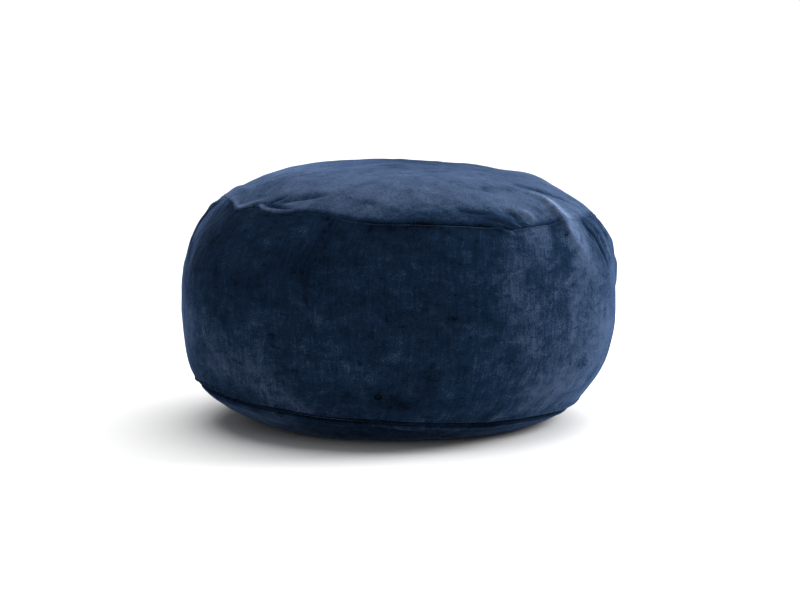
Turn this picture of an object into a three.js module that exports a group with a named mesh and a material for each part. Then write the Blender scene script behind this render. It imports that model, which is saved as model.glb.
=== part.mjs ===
// A foam-filled floor pouf, cut from short-pile plush and sewn edge to edge: a round crowned top
// panel, a tall side band, a narrow folded strip let into the lower seam, and a shallow base panel
// that rests on the floor. Each panel is built as the filled solid that ends at its seams.
//
// Millimetres, +Z up, the front at -Y, the floor at z = 0. A bearing is in degrees round from the
// front, plus towards the right (+X).

import * as THREE from 'three';
import { mergeVertices } from 'three/addons/utils/BufferGeometryUtils.js';

// ---- Driving dimensions ----

// The rings that shape the cover. Use has slumped the filling, so a ring's middle is off centre by
// its shift (+X), and its right side stands above its middle by its tip.
const RINGS = {
  crown: { radius: 0, height: 443, shift: 13, tip: 0 },
  topSeam: { radius: 323, height: 371, shift: 17, tip: -12 },
  waist: { radius: 378, height: 224, shift: 0, tip: -2 },
  baseSeam: { radius: 322, height: 45, shift: -24, tip: -21 },
  foot: { radius: 240, height: 0, shift: 5, tip: 0 },
};

// How full each stretch of the outline is, as the exponent of its curve: 1 is a straight slope.
const FULLNESS = { crown: 3.2, shoulder: 2.9, flank: 3.2, heel: 1.7 };

const SEAM_GAP = 0.3;        // between two panels where they meet
const SEAM_DEPTH = 4;        // how far a seam is drawn in below the cover
const SEAM_SHOULDER = 7;     // from a seam to where the cloth is back at its full height

const STRIP_WIDTH = 9;       // the strip let into the lower seam, along the cover
const STRIP_DEPTH = 6;       // and into it
const STRIP_CROWN = 1.2;     // how far its middle stands out

const SEGMENTS = 96;         // round each panel

// Where the rings of each stretch lie, as shares of the way from its seam or foot to its fullest
// ring; they are closer together beside a seam, where the cloth bends most.
const CROWN_SHARES = [0.09, 0.17, 0.27, 0.4, 0.56, 0.78, 1];
const SHOULDER_SHARES = [0.08, 0.16, 0.27, 0.4, 0.56, 0.76, 1];
const FLANK_SHARES = [0.1, 0.2, 0.34, 0.5, 0.7];
const HEEL_SHARES = [0.3, 0.55, 0.75];
const MEETING_SHARES = [0, 0.55, 0.9];

const COLOUR = 0x233247;     // navy plush

// Places where the top seam wanders from its ring: how far it slides up over the crown, in mm, at
// the bearing, fading over the spread.
const SEAM_WANDER = [
  { bearing: -76, spread: 12, slide: 7 },
  { bearing: -60, spread: 3.5, slide: -6 },
  { bearing: -52.5, spread: 3, slide: 13 },
  { bearing: -30, spread: 8.5, slide: 10 },
  { bearing: -9, spread: 7, slide: -3 },
  { bearing: 32, spread: 11, slide: -12 },
  { bearing: 118, spread: 20, slide: 6 },
  { bearing: 171, spread: 16, slide: -6 },
  { bearing: -135, spread: 18, slide: -5 },
];

// The folds that stand out of the cover, or into it where the height is less than nothing. Each
// crest runs straight between its ends. A reach is in mm from the top seam, measured across the
// outline: minus over the crown, plus down the band.
const FOLDS = [
  // the long fold that rolls over the right shoulder, and the hollow behind it
  { height: 8, halfWidth: 17, bearings: [53, 59], reaches: [-105, -30] },
  { height: 8, halfWidth: 17, bearings: [59, 66], reaches: [-30, 95] },
  { height: -9, halfWidth: 34, bearings: [88, 116], reaches: [-25, -5] },
  // the upright folds behind that
  { height: 5, halfWidth: 12, bearings: [75, 75], reaches: [-10, 120] },
  { height: 5, halfWidth: 12, bearings: [86, 83], reaches: [-40, 80] },
  { height: 4, halfWidth: 15, bearings: [104, 98], reaches: [30, 120] },
  // the fold over the left shoulder, and the gathered seam in front of it
  { height: 5, halfWidth: 18, bearings: [-84, -80], reaches: [-25, 30] },
  { height: 5, halfWidth: 15, bearings: [-52, -41], reaches: [-6, -34] },
  // the flatter stretch of the band below the left shoulder
  { height: -4, halfWidth: 50, bearings: [-95, -75], reaches: [100, 110] },
  // the hollow that puckers the top panel
  { height: -5, halfWidth: 17, bearings: [36, 34], reaches: [-72, -18] },
  // shallow folds at the back
  { height: 5, halfWidth: 20, bearings: [146, 141], reaches: [-60, 90] },
  { height: -4, halfWidth: 18, bearings: [-160, -164], reaches: [-70, 40] },
  { height: 5, halfWidth: 20, bearings: [-122, -126], reaches: [-40, 110] },
  { height: 4, halfWidth: 22, bearings: [178, 172], reaches: [190, 250] },
];

// Slow unevenness of the filling: how many lobes go round, and how far they stand out.
const LOBES = [
  { count: 3, height: 2.2, bearing: -70 },
  { count: 5, height: 1.5, bearing: 20 },
  { count: 8, height: 1.1, bearing: 64 },
];

// ---- Rings ----

const radians = THREE.MathUtils.degToRad;
const lerp = THREE.MathUtils.lerp;

// Part of the way from one ring to another: `across` moves it outwards and `up` moves it in height.
function between(from, to, across, up) {
  return {
    radius: lerp(from.radius, to.radius, across),
    height: lerp(from.height, to.height, up),
    shift: lerp(from.shift, to.shift, across),
    tip: lerp(from.tip, to.tip, across),
  };
}

// The four stretches of the outline, each from its seam or foot (0) to its fullest ring (1).
function crown(share) {
  return between(RINGS.topSeam, RINGS.crown, share, 1 - (1 - share) ** FULLNESS.crown);
}

function shoulder(share) {
  return between(RINGS.topSeam, RINGS.waist, 1 - (1 - share) ** FULLNESS.shoulder, share);
}

function flank(share) {
  return between(RINGS.baseSeam, RINGS.waist, 1 - (1 - share) ** FULLNESS.flank, share);
}

function heel(share) {
  const rise = share ** FULLNESS.heel;
  const ring = between(RINGS.foot, RINGS.baseSeam, share, rise);
  return { ...ring, tip: RINGS.baseSeam.tip * rise };
}

// The direction straight out of the filling at a ring, in the plane of the outline.
function outward(ring) {
  const flatness = 1.6;
  return new THREE.Vector2(ring.radius, flatness * (ring.height - RINGS.waist.height)).normalize();
}

// A ring beside a seam: `along` the cover (plus is up and over it) and `deep` below its surface.
function beside(seam, along, deep) {
  const out = outward(seam);
  const upward = new THREE.Vector2(-out.y, out.x);
  return {
    ...seam,
    radius: seam.radius + upward.x * along - out.x * deep,
    height: seam.height + upward.y * along - out.y * deep,
    out,
  };
}

// The rings of the flat face where two panels meet, from the middle to the edge at the seam.
function meetingFace(edge) {
  return MEETING_SHARES.map((share) => ({
    ...edge,
    radius: edge.radius * share,
    tip: edge.tip * share,
    hold: share ** 4,
  }));
}

// ---- Unevenness ----

// How far one bearing is from another, in degrees from -180 to 180.
function turn(from, to) {
  return THREE.MathUtils.euclideanModulo(to - from + 180, 360) - 180;
}

// A bump that is 1 at its middle and fades to nothing past twice its spread.
function bump(distance, spread) {
  return Math.exp(-((distance / spread) ** 2));
}

// The distance from the top seam to a ring, across the outline.
function reachOf(ring) {
  const { radius, height } = RINGS.topSeam;
  const distance = Math.hypot(ring.radius - radius, ring.height - height);
  return ring.height > height ? -distance : distance;
}

// Where a bearing and a reach lie when the cover is smoothed out flat.
function flattened(bearing, reach) {
  const radius = RINGS.topSeam.radius + reach;
  const angle = radians(bearing);
  return new THREE.Vector3(radius * Math.sin(angle), radius * Math.cos(angle), 0);
}

function seamSlide(bearing, reach) {
  const fade = 60;
  let slide = 0;
  for (const wander of SEAM_WANDER) {
    slide += wander.slide * bump(turn(wander.bearing, bearing), wander.spread);
  }
  return slide * bump(reach, fade);
}

function foldHeight(bearing, reach) {
  const spot = flattened(bearing, reach);
  const nearest = new THREE.Vector3();
  let height = 0;
  for (const fold of FOLDS) {
    const start = flattened(fold.bearings[0], fold.reaches[0]);
    const end = flattened(fold.bearings[1], fold.reaches[1]);
    new THREE.Line3(start, end).closestPointToPoint(spot, true, nearest);
    height += fold.height * bump(nearest.distanceTo(spot), fold.halfWidth);
  }
  return height;
}

function lobeHeight(bearing, ring) {
  let height = 0;
  for (const lobe of LOBES) {
    height += lobe.height * Math.cos(lobe.count * radians(bearing - lobe.bearing));
  }
  return height * Math.min(1, ring.radius / RINGS.topSeam.radius);
}

// Where a ring passes a bearing, with the slump, the folds and the wander of the seam. A ring that
// rests on the floor stays flat, and one inside the filling follows only as far as its hold.
function place(ring, bearing) {
  const { radius, height, shift, tip, hold = 1, resting = false } = ring;
  const angle = radians(bearing);
  const point = new THREE.Vector3(
    shift + radius * Math.sin(angle),
    -radius * Math.cos(angle),
    height + tip * Math.sin(angle),
  );
  if (resting) return point;
  const out = ring.out ?? outward(ring);
  const reach = reachOf(ring);
  const lift = hold * (foldHeight(bearing, reach) + lobeHeight(bearing, ring));
  const slide = hold * seamSlide(bearing, reach);
  const sideways = lift * out.x - slide * out.y;
  point.x += sideways * Math.sin(angle);
  point.y -= sideways * Math.cos(angle);
  point.z += lift * out.y + slide * out.x;
  return point;
}

// ---- Solids ----

const material = (name) => new THREE.MeshStandardMaterial({
  name,
  color: COLOUR,
  roughness: 0.9,
  metalness: 0,
});

// Turns every face of a geometry over.
function turnOver(geometry) {
  const index = geometry.getIndex();
  for (let corner = 0; corner < index.count; corner += 3) {
    const second = index.getX(corner + 1);
    index.setX(corner + 1, index.getX(corner + 2));
    index.setX(corner + 2, second);
  }
}

// A closed solid turned round the upright axis through a run of rings, then moved to its real form.
// The top and the base list their rings downwards and the band upwards, so that two panels split
// the quads of the face where they meet along the same diagonals and keep their gap all over it.
function turned(name, rings, downwards = false) {
  const outline = rings.map((ring) => new THREE.Vector2(ring.radius, ring.height));
  const geometry = new THREE.LatheGeometry(outline, SEGMENTS);
  if (downwards) turnOver(geometry);
  const position = geometry.getAttribute('position');
  for (let index = 0; index < position.count; index += 1) {
    const ring = rings[index % rings.length];
    const step = Math.floor(index / rings.length) % SEGMENTS;
    const point = place(ring, (step * 360) / SEGMENTS);
    position.setXYZ(index, point.x, point.y, point.z);
  }
  geometry.deleteAttribute('normal');
  geometry.deleteAttribute('uv');
  const closed = mergeVertices(geometry, 1e-3);
  closed.computeVertexNormals();
  const mesh = new THREE.Mesh(closed, material(name));
  mesh.name = name;
  return mesh;
}

// The crowned top: from the middle of the crown out to the seam edge, and back under it.
function topPanel() {
  const edge = beside(RINGS.topSeam, SEAM_GAP / 2, SEAM_DEPTH);
  const rings = [
    ...CROWN_SHARES.map(crown).reverse(),
    beside(RINGS.topSeam, SEAM_SHOULDER, 0),
    edge,
    ...meetingFace(edge).reverse(),
  ];
  return turned('top_panel', rings, true);
}

// The tall band: behind the strip, out at the lower seam, up over the waist to the top seam.
function sideBand() {
  const behind = STRIP_DEPTH + SEAM_GAP;
  const clear = STRIP_WIDTH / 2 + SEAM_GAP;
  const low = RINGS.baseSeam;
  const inner = beside(low, SEAM_GAP, behind);
  const topEdge = beside(RINGS.topSeam, -SEAM_GAP / 2, SEAM_DEPTH);
  return turned('side_band', [
    ...meetingFace(inner),
    inner,
    beside(low, clear, behind),
    beside(low, clear, SEAM_DEPTH / 2),
    beside(low, clear + SEAM_SHOULDER / 2, 0),
    ...FLANK_SHARES.map(flank),
    ...SHOULDER_SHARES.map(shoulder).reverse(),
    beside(RINGS.topSeam, -SEAM_SHOULDER, 0),
    topEdge,
    ...meetingFace(topEdge).reverse(),
  ]);
}

// The folded strip: a narrow ring with a rounded face, lying in the groove between band and base.
function baseStrip() {
  const low = RINGS.baseSeam;
  const half = STRIP_WIDTH / 2;
  return turned('base_strip', [
    beside(low, -half, STRIP_DEPTH),
    beside(low, -half, STRIP_CROWN),
    beside(low, 0, -STRIP_CROWN),
    beside(low, half, STRIP_CROWN),
    beside(low, half, STRIP_DEPTH),
    beside(low, -half, STRIP_DEPTH),
  ]);
}

// The base: its face against the band, the edge under the strip, a rounded heel and a flat foot.
function basePanel() {
  const behind = STRIP_DEPTH + SEAM_GAP;
  const clear = STRIP_WIDTH / 2 + SEAM_GAP;
  const low = RINGS.baseSeam;
  const inner = beside(low, -SEAM_GAP, behind);
  const foot = { ...RINGS.foot, resting: true };
  const rings = [
    ...meetingFace(inner),
    inner,
    beside(low, -clear, behind),
    beside(low, -clear, SEAM_DEPTH / 2),
    beside(low, -clear - SEAM_SHOULDER / 2, 0),
    ...HEEL_SHARES.map(heel).reverse(),
    foot,
    { ...foot, radius: 0 },
  ];
  return turned('base_panel', rings, true);
}

// ---- The pouf, with its own middle over the origin ----

const pouf = new THREE.Group();
pouf.name = 'foam_pouf';
pouf.add(topPanel(), sideBand(), baseStrip(), basePanel());

const middle = new THREE.Box3().setFromObject(pouf, true).getCenter(new THREE.Vector3());
for (const piece of pouf.children) {
  piece.position.set(-middle.x, -middle.y, 0);
}

export default pouf;
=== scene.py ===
# %% [markdown]
# # A foam pouf in navy plush
#
# The pouf is a cloth cover sewn from three cut panels and a narrow strip, packed with loose
# foam. The imported CAD model gives its size and place, in metres, +Z up, with the front at -Y.
# This lesson wraps a fine cloth cover on that frame, lets a cloth simulation wrinkle it, presses
# the main folds and seams into it, cuts it into its panels, and gives it its plush.

# %% Load the frame
import math

import bmesh
import bpy
import numpy as np
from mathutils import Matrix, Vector


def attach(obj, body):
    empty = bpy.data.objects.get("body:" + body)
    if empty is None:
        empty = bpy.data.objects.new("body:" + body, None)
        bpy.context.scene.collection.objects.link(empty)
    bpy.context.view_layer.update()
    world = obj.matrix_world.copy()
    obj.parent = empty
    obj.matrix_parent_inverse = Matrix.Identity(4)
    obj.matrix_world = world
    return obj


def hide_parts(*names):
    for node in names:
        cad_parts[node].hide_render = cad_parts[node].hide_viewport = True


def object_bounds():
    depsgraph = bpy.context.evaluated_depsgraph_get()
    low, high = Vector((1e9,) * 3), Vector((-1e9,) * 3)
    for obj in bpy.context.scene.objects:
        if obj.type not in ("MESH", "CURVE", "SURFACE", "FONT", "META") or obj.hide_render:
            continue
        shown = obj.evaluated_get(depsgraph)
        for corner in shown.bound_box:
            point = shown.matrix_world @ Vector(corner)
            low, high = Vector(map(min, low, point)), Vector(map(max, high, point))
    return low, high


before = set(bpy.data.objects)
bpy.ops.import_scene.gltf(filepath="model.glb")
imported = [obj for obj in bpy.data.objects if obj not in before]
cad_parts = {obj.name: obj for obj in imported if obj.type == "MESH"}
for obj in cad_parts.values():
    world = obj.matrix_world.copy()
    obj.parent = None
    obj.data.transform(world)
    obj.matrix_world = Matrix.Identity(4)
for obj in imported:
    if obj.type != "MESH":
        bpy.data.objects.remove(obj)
CAD_LOW, CAD_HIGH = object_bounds()
MM = 0.001
print("nodes:", sorted(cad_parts))
print("CAD box, mm:", [round(side / MM, 1) for side in CAD_HIGH - CAD_LOW])

# %% [markdown]
# ## The form
#
# A filled cover is round because its cloth is in tension, and slumped because people sit on it.
# It could be sculpted, but five rings and the curves between them say it all: a curve's exponent
# is how full that stretch is. The rings are shares of the CAD model's half width and height, so
# the cover follows the frame. `shift` moves a ring sideways, and `tip` raises its right side.

# %% Helpers for tables, objects and meshes
def table(columns, *rows):
    """The rows of a short table, each as a dict by the names of its columns."""
    return [dict(zip(columns.split(), row, strict=True)) for row in rows]


def placed(name, data):
    """Puts a new object in the scene."""
    thing = bpy.data.objects.new(name, data)
    bpy.context.scene.collection.objects.link(thing)
    return thing


def read(mesh, name, width=1):
    """A mesh's corner positions, or one of its attributes, as an array."""
    data = mesh.vertices if name == "co" else mesh.attributes[name].data
    values = np.empty(len(mesh.vertices) * width)
    data.foreach_get("co" if name == "co" else "value", values)
    return values.reshape(-1, width) if width > 1 else values


# %% The rings and the fullness between them
HALF_WIDTH = (CAD_HIGH.x - CAD_LOW.x) / 2
HEIGHT = CAD_HIGH.z - CAD_LOW.z

RINGS = {
    "crown": dict(radius=0.0, height=0.994, shift=0.035, tip=0.0),
    "top_seam": dict(radius=0.857, height=0.833, shift=0.045, tip=-0.032),
    "waist": dict(radius=1.003, height=0.503, shift=0.0, tip=-0.005),
    "base_seam": dict(radius=0.855, height=0.101, shift=-0.064, tip=-0.056),
    "foot": dict(radius=0.637, height=0.0, shift=0.013, tip=0.0),
}
FULLNESS = dict(crown=3.2, shoulder=2.9, flank=3.2, heel=1.7)

# use has also left the cover a little lobed: `count` swellings go round it
LOBES = table(
    "count height bearing",
    (3, 2.2 * MM, -70),
    (5, 1.5 * MM, 20),
    (8, 1.1 * MM, 64),
)

# the strip's corners are even all round, so their mean is the middle of the ring that it follows
strip_middle = read(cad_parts["base_strip"].data, "co", 3).mean(axis=0)
MIDDLE_X = strip_middle[0] - RINGS["base_seam"]["shift"] * HALF_WIDTH
MIDDLE_Y = strip_middle[1]
print("middle of the filling, mm:", round(MIDDLE_X / MM, 1), round(MIDDLE_Y / MM, 1))


# %% A point of the smooth form
def between(start, end, across, up):
    """The ring part of the way from one ring to another, as arrays."""
    low, high = RINGS[start], RINGS[end]
    mixed = {key: low[key] + (high[key] - low[key]) * across for key in ("radius", "shift", "tip")}
    mixed["height"] = low["height"] + (high["height"] - low["height"]) * up
    return mixed


def form(place, bearing):
    """Points of the smooth form. `place` runs down the outline: -1 is the middle of the crown,
    0 the top seam, 1 the waist, 2 the base seam, 3 the foot and 4 the middle of the sole."""
    place, bearing = np.broadcast_arrays(np.asarray(place, float), np.asarray(bearing, float))
    rows = {key: np.zeros(place.shape) for key in ("radius", "height", "shift", "tip")}
    from_rings = (-place, place, 2 - place, 3 - place, 4 - place)
    share, down, rise, heel, sole = np.clip(from_rings, 0, 1)
    stretches = [
        (place <= 0, between("top_seam", "crown", share, 1 - (1 - share) ** FULLNESS["crown"])),
        (place > 0, between("top_seam", "waist", 1 - (1 - down) ** FULLNESS["shoulder"], down)),
        (place > 1, between("base_seam", "waist", 1 - (1 - rise) ** FULLNESS["flank"], rise)),
        (place > 2, between("foot", "base_seam", heel, heel ** FULLNESS["heel"])),
        (place > 3, between("foot", "foot", sole, sole)),
    ]
    for chosen, mixed in stretches:
        for key, values in mixed.items():
            rows[key] = np.where(chosen, values, rows[key])
    rows["tip"] = np.where(place > 2, RINGS["base_seam"]["tip"] * heel ** FULLNESS["heel"], rows["tip"])
    rows["radius"] = np.where(place > 3, rows["radius"] * sole, rows["radius"])
    lobed = np.clip(rows["radius"] / RINGS["top_seam"]["radius"], 0, 1) * heel
    radius = rows["radius"] * HALF_WIDTH
    for lobe in LOBES:
        turn = np.radians(np.degrees(bearing) - lobe["bearing"])
        radius = radius + lobed * lobe["height"] * np.cos(lobe["count"] * turn)
    x = MIDDLE_X + rows["shift"] * HALF_WIDTH + radius * np.sin(bearing)
    y = MIDDLE_Y - radius * np.cos(bearing)
    z = rows["height"] * HEIGHT + rows["tip"] * HALF_WIDTH * np.sin(bearing)
    return np.stack([x, y, z], axis=-1)


# %% Distances down the outline
# `down` is measured along the cloth from the top seam: less than nothing over the crown
STEPS_BETWEEN_RINGS = 500
STEPS = np.linspace(-1, 4, 5 * STEPS_BETWEEN_RINGS + 1)
outline = form(STEPS, 0.0)
lengths = np.concatenate([[0], np.cumsum(np.linalg.norm(np.diff(outline, axis=0), axis=1))])
DOWN = lengths - np.interp(0, STEPS, lengths)
CROWN_LENGTH = -DOWN[0]
BASE_SEAM = np.interp(2, STEPS, DOWN)
FOOT = np.interp(3, STEPS, DOWN)
SOLE_MIDDLE = DOWN[-1]
print("crown, base seam and foot, mm from the top seam:",
      [round(value / MM) for value in (CROWN_LENGTH, BASE_SEAM, FOOT)])

# %% [markdown]
# ## The cover laid out flat
#
# The whole cover is drawn first as a flat rosette: the top panel inside a circle of radius 1, the
# band as rings from 1 to 2, the strip to 2.1, the heel of the base to 3 and its sole to 4. A grid
# fills the middle of the top, because rings that close on a pole crowd their faces there, and
# rings of edges are then extruded outwards. Rings lie closer beside the seams, where the cloth
# bends most. The middle of the sole stays open until the panels are cut and closed.

# %% Where the rings lie
CROWDING = 0.62


def crowded(count, start, end, at_start, at_end):
    """Values past start and up to end, closer together at the ends that are asked for."""
    steps = np.linspace(0, 1, count + 1)[1:]
    crowd = {
        (True, True): 0.5 - 0.5 * np.cos(np.pi * steps),
        (True, False): 1 - np.cos(np.pi / 2 * steps),
        (False, True): np.sin(np.pi / 2 * steps),
    }[at_start, at_end]
    return start + (end - start) * (CROWDING * crowd + (1 - CROWDING) * steps)


GRID_CELLS = 90
GRID_RADIUS = 0.72
TOP_RINGS = crowded(16, GRID_RADIUS, 1, at_start=False, at_end=True)
BAND_RINGS = crowded(62, 1, 2, at_start=True, at_end=True)
STRIP_RINGS = (2.02, 2.05, 2.08, 2.1)
HEEL_RINGS = crowded(14, 2.1, 3, at_start=True, at_end=False)
SOLE_RINGS = (3.25, 3.5, 3.75, 3.9)
OUTER_RINGS = (*BAND_RINGS, *STRIP_RINGS, *HEEL_RINGS, *SOLE_RINGS)
print("rings round the grid:", len(TOP_RINGS) + len(OUTER_RINGS))


# %% Helpers for rims
def is_vert(item):
    return isinstance(item, bmesh.types.BMVert)


def outer_rim(items):
    """The boundary edges among what an extrusion has made."""
    return [item for item in items if isinstance(item, bmesh.types.BMEdge) and item.is_boundary]


def extrude_ring(bm, rim, radius):
    """Extrudes a closed rim of edges outwards to a circle of that radius, and returns the new rim."""
    made = bmesh.ops.extrude_edge_only(bm, edges=rim)["geom"]
    for vert in filter(is_vert, made):
        vert.co = vert.co.normalized() * radius
    return outer_rim(made)


# %% Draw the rosette
GRID_ROUNDNESS = 0.45  # at the grid's middle; it is fully round at its rim
EVENING_TURNS = 30

bm = bmesh.new()
bmesh.ops.create_grid(bm, x_segments=GRID_CELLS, y_segments=GRID_CELLS, size=1)
for vert in bm.verts:
    far = max(abs(vert.co.x), abs(vert.co.y))
    near = min(abs(vert.co.x), abs(vert.co.y))
    if far > 0:
        angle = math.pi / 4 * near / far
        along, aside = far * math.cos(angle), far * math.sin(angle)
        if abs(vert.co.x) < abs(vert.co.y):
            along, aside = aside, along
        on_circle = Vector((math.copysign(along, vert.co.x), math.copysign(aside, vert.co.y), 0))
        roundness = GRID_ROUNDNESS + (1 - GRID_ROUNDNESS) * far ** 3
        vert.co = vert.co.lerp(on_circle, roundness) * GRID_RADIUS
rim = outer_rim(bm.edges)
for radius in TOP_RINGS:
    rim = extrude_ring(bm, rim, radius)
inside = [vert for vert in bm.verts if not vert.is_boundary]
for turn in range(EVENING_TURNS):
    bmesh.ops.smooth_vert(bm, verts=inside, factor=0.5, use_axis_x=True, use_axis_y=True)
for radius in OUTER_RINGS:
    rim = extrude_ring(bm, rim, radius)
bm.verts.index_update()
# extruding makes its faces in another order each run, and the simulation would feel it
faces = sorted([vert.index for vert in face.verts] for face in bm.faces)
rosette = bpy.data.meshes.new("cover")
rosette.from_pydata([vert.co for vert in bm.verts], [], faces)
bm.free()
print("rosette:", len(rosette.vertices), "corners,", len(rosette.polygons), "faces")


# %% [markdown]
# ## Wrapping it on the form
#
# Each corner of the rosette knows its bearing and how far down the cloth it lies, so the wrap is
# one function. Its flat place is kept as two attributes, because subdividing keeps those too. The
# seams don't run level: sewing pulled them up in some places and down in others, so the cloth
# beside them slides with them.

# %% Where the seams wander
# slide: how far up the cloth, fading over the spread of bearings
SEAM_WANDER = table(
    "bearing spread slide",
    (-76, 12, 7 * MM),
    (-60, 3.5, -6 * MM),
    (-52.5, 3, 8 * MM),
    (-30, 8.5, 10 * MM),
    (-9, 7, -3 * MM),
    (32, 11, -9 * MM),
    (30, 2.5, -4 * MM),
    (118, 20, 6 * MM),
    (171, 16, -6 * MM),
    (-135, 18, -5 * MM),
)
SEAM_TUG = 60 * MM  # how far from the top seam the cloth slides with it
BASE_WANDER = table(
    "bearing spread slide",
    (-66, 18, 15 * MM),
    (100, 30, 3 * MM),
    (-160, 24, -3 * MM),
)
BASE_TUG = 36 * MM


def bump(distance, spread):
    """1 in the middle, fading smoothly to almost nothing at twice the spread."""
    return np.exp(-((distance / spread) ** 2))


def bump_round(bearing, middle, spread):
    """The same bump round the pouf, in degrees of bearing."""
    return bump((bearing - middle + 180) % 360 - 180, spread)


def seam_slide(bearing, rows):
    """How far up the cloth a seam has slid at each bearing."""
    return sum(row["slide"] * bump_round(bearing, row["bearing"], row["spread"]) for row in rows)


# %% Wrap the cover
STRIP_WIDTH = 9 * MM
STRIP_TOP = BASE_SEAM - STRIP_WIDTH / 2
STRIP_FOOT = BASE_SEAM + STRIP_WIDTH / 2
RINGS_AT = [0, 1, 2, 2.1, 3, 4]
DOWNS_AT = [-CROWN_LENGTH, 0, STRIP_TOP, STRIP_FOOT, FOOT, SOLE_MIDDLE]


def write(mesh, name, values):
    """Writes corner positions, or an attribute with one number a corner."""
    if name == "co":
        mesh.vertices.foreach_set("co", values.ravel())
        mesh.update()
        return
    if name not in mesh.attributes:
        mesh.attributes.new(name, "FLOAT", "POINT")
    mesh.attributes[name].data.foreach_set("value", values.ravel())


def wrapped(bearing, down):
    """The point of the smooth form at a bearing in degrees and a distance down the cloth."""
    slid = down - seam_slide(bearing, SEAM_WANDER) * bump(down, SEAM_TUG)
    slid = slid - seam_slide(bearing, BASE_WANDER) * bump(down - BASE_SEAM, BASE_TUG)
    return form(np.interp(slid, DOWN, STEPS), np.radians(bearing))


def on_cloth(flat_x, flat_y):
    """Each corner's ring in the rosette, its bearing in degrees and its distance down the cloth."""
    ring = np.hypot(flat_x, flat_y)
    return ring, np.degrees(np.arctan2(flat_x, -flat_y)), np.interp(ring, RINGS_AT, DOWNS_AT)


flat = read(rosette, "co", 3)
ring, bearing, down = on_cloth(flat[:, 0], flat[:, 1])
write(rosette, "flat_x", flat[:, 0])
write(rosette, "flat_y", flat[:, 1])
write(rosette, "co", wrapped(bearing, down))
cover = placed("cover", rosette)
print("cover, mm:", [round(side / MM, 1) for side in cover.dimensions])

# %% [markdown]
# ## Wrinkles from a cloth simulation
#
# Where a panel was cut a little longer than the one that it is sewn to, the spare cloth gathers
# into fine folds that run out from the seam. Drawing them one by one looks drawn. Here the cloth
# is held at its seams and grows a few parts in a hundred where it was gathered, so that it has to
# buckle, and its own stiffness decides how wide the folds are. The growth also swells the form,
# so only the wrinkles are kept: the shift of each corner, less the smooth part of that shift.

# %% Where the cloth is gathered
# spread: in degrees. reach: along the cloth. share: of the full growth; below nothing the cloth
# stays plain
GATHERS = table(
    "bearing spread down reach share",
    (-72, 18, 30 * MM, 100 * MM, -0.8),
    (-116, 13, 10 * MM, 52 * MM, 0.7),
    (46, 8, -24 * MM, 24 * MM, 0.25),
    (80, 14, 40 * MM, 60 * MM, 0.4),
    (122, 18, -6 * MM, 60 * MM, 0.6),
    (168, 26, 0, 64 * MM, 0.8),
    (-134, 24, 6 * MM, 60 * MM, 0.7),
)
SEAM_SHARE = 0.07  # a little of the growth goes all the way round each seam
GROWTH = 0.06
MOST_WRINKLE = 6 * MM
FRAMES = 20
SWELL_TURNS = 60  # turns of averaging after which only the swelling is left


def gathered(bearing, down):
    """The share of the full growth at each corner."""
    top_reach, base_reach = 44 * MM, 30 * MM
    share = SEAM_SHARE * (bump(down, top_reach) + bump(down - BASE_SEAM, base_reach))
    for row in GATHERS:
        across = bump_round(bearing, row["bearing"], row["spread"])
        share = share + row["share"] * across * bump(down - row["down"], row["reach"])
    return np.clip(share, 0, 1)


def held(down):
    """1 where the stitches or the floor hold the cloth."""
    top_width, base_width, floor_edge = 4 * MM, 7 * MM, 1 * MM
    stitched = np.maximum(bump(down, top_width), bump(down - BASE_SEAM, base_width))
    return np.maximum(stitched, down > FOOT - floor_edge)


# %% Average values over the mesh
def smoothed(mesh, values, turns):
    """Averages values with those of the neighbouring corners, over and over."""
    ends = np.empty(len(mesh.edges) * 2, dtype=np.int32)
    mesh.edges.foreach_get("vertices", ends)
    first, second = ends.reshape(-1, 2).T
    count = len(mesh.vertices)
    neighbours = np.bincount(ends, minlength=count)[:, None]
    for turn in range(turns):
        sums = [np.bincount(first, column[second], count) + np.bincount(second, column[first], count)
                for column in values.T]
        values = 0.5 * values + 0.5 * np.stack(sums, axis=1) / neighbours
    return values


# %% Simulate the wrinkles
def weigh(piece, name, weights):
    """Makes a vertex group with one weight a corner, where it is worth a weight."""
    group = piece.vertex_groups.new(name=name)
    least = 0.01
    for index in np.flatnonzero(weights > least):
        group.add([int(index)], float(weights[index]), "REPLACE")


def wrinkled(piece):
    """Runs the cloth on a piece and returns how far the wrinkles move each corner."""
    weigh(piece, "held", held(down))
    weigh(piece, "even", 1 - gathered(bearing, down))
    simulation = piece.modifiers.new("cloth", "CLOTH")
    simulation.point_cache.frame_end = FRAMES + 4
    settings = simulation.settings
    settings.quality = 6
    settings.mass = 0.3
    settings.bending_stiffness = 0.4
    settings.air_damping = 5
    settings.use_pressure = True
    settings.uniform_pressure_force = 1
    settings.effector_weights.gravity = 0
    settings.vertex_group_mass = "held"
    settings.pin_stiffness = 5
    settings.vertex_group_shrink = "even"
    settings.shrink_min = -GROWTH
    settings.shrink_max = 0
    before = read(piece.data, "co", 3)
    for step in range(1, FRAMES + 1):
        bpy.context.scene.frame_set(step)
    settled = piece.evaluated_get(bpy.context.evaluated_depsgraph_get())
    shift = read(settled.data, "co", 3) - before
    piece.modifiers.remove(simulation)
    piece.vertex_groups.clear()
    bpy.context.scene.frame_set(1)
    return shift - smoothed(piece.data, shift, SWELL_TURNS)


# %% Add them to the cover
wrinkles = wrinkled(cover)
size = np.linalg.norm(wrinkles, axis=1, keepdims=True)
not_nothing = 1e-9
capped = MOST_WRINKLE * np.tanh(size / MOST_WRINKLE)
wrinkles = wrinkles * (capped / np.maximum(size, not_nothing))
write(rosette, "co", read(rosette, "co", 3) + wrinkles * (1 - held(down))[:, None])
print("wrinkles, mm: mean", round(size.mean() / MM, 2), "and most", round(size.max() / MM, 2))

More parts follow.
